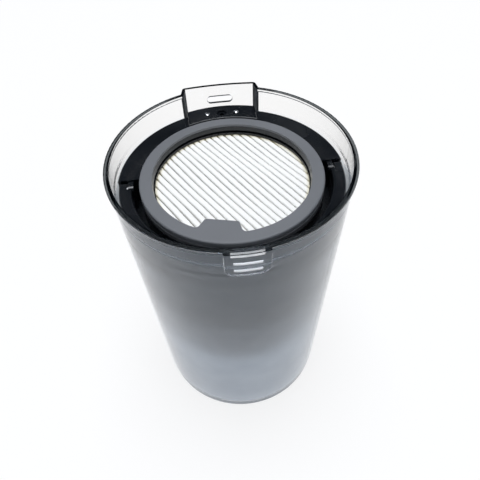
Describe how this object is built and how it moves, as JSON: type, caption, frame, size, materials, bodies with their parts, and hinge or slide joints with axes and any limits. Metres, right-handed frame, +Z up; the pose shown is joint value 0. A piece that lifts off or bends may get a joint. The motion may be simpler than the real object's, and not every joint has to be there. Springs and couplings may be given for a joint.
{
  "type": "cyclone dust bin",
  "caption": "Clear dust cup of a stick vacuum with a lift-out cyclone, folding lift handle, mesh shroud, hook pocket, latch pad and a pleated filter in a soft rim.",
  "frame": {"origin": "middle of the cup's flat underside", "axes": "+Z up to the mouth, -Y the front with the latch pad, +Y the rear with the hook pocket and inlet"},
  "size_m": [0.112, 0.1165, 0.168],
  "materials": {
    "clear_smoke": "clear moulded plastic with a light smoky tint",
    "black_abs": "black moulded plastic, fine satin grain",
    "grey_abs": "dark grey moulded plastic",
    "grey_tpe": "soft grey thermoplastic rubber, matt",
    "black_rubber": "black seal rubber",
    "steel": "zinc plated steel",
    "mesh_steel": "perforated stainless sheet",
    "white_media": "white pleated filter media"
  },
  "bodies": {
    "cup": {"dust_cup": "clear_smoke"},
    "cyclone": {"top_frame": "black_abs", "frame_seal": "black_rubber", "key_block": "black_abs", "block_screws": "steel", "hinge_pins": "steel", "shroud_cage": "black_abs", "mesh_sleeve": "mesh_steel", "cage_screws": "steel", "vortex_finder": "black_abs", "cone_gasket": "black_rubber", "inner_cone": "grey_abs", "fine_cup_seal": "black_rubber", "fine_dust_cup": "grey_abs"},
    "handle": {"lift_handle": "black_abs"},
    "filter": {"filter_rim": "grey_tpe", "filter_frame": "black_abs", "filter_guard": "black_abs", "filter_media": "white_media"}
  },
  "joints": [
    {"name": "cyclone_lift", "type": "slide", "parent": "cup", "child": "cyclone", "axis": [0, 0, 1], "range_m": [0, 0.135]},
    {"name": "handle_swing", "type": "hinge", "parent": "cyclone", "child": "handle", "pos_m": [0, 0.0003, 0.15305], "axis": [-1, 0, 0], "range_deg": [0, 90]},
    {"name": "filter_lift", "type": "slide", "parent": "cyclone", "child": "filter", "axis": [0, 0, 1], "range_m": [0, 0.075]}
  ]
}
